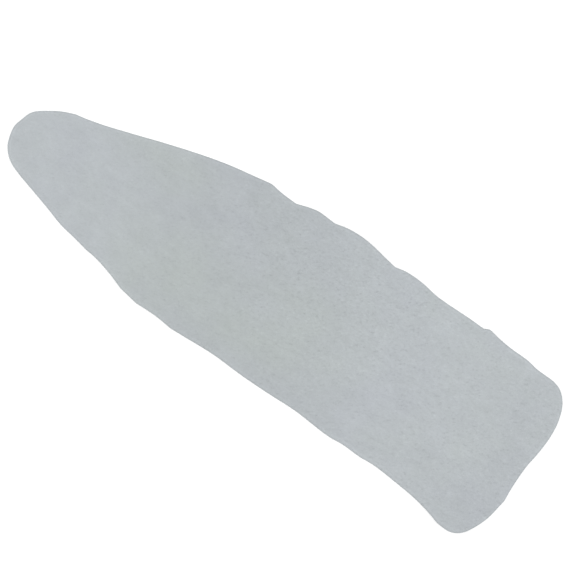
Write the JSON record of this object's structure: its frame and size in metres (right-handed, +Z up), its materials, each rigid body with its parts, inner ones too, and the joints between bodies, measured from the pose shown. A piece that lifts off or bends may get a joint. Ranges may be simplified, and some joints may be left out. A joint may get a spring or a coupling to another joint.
{
  "type": "ironing board padding",
  "caption": "Flat needled-felt underlay cut to the shape of an ironing board, with a narrow rounded nose and a square tail, that lies between the board and its cover.",
  "frame": {"origin": "middle of the pad's outline, on the surface that it lies on", "axes": "+X from the narrow nose to the square tail, +Y across the pad to its far side, +Z up out of the face that carries the cover"},
  "size_m": [1.2, 0.3796, 0.0099],
  "materials": {
    "face_felt": "matte",
    "back_felt": "matte",
    "scrim_fabric": "matte"
  },
  "bodies": {
    "root": {"face_web": "face_felt", "reinforcing_scrim": "scrim_fabric", "back_web": "back_felt"}
  },
  "joints": []
}
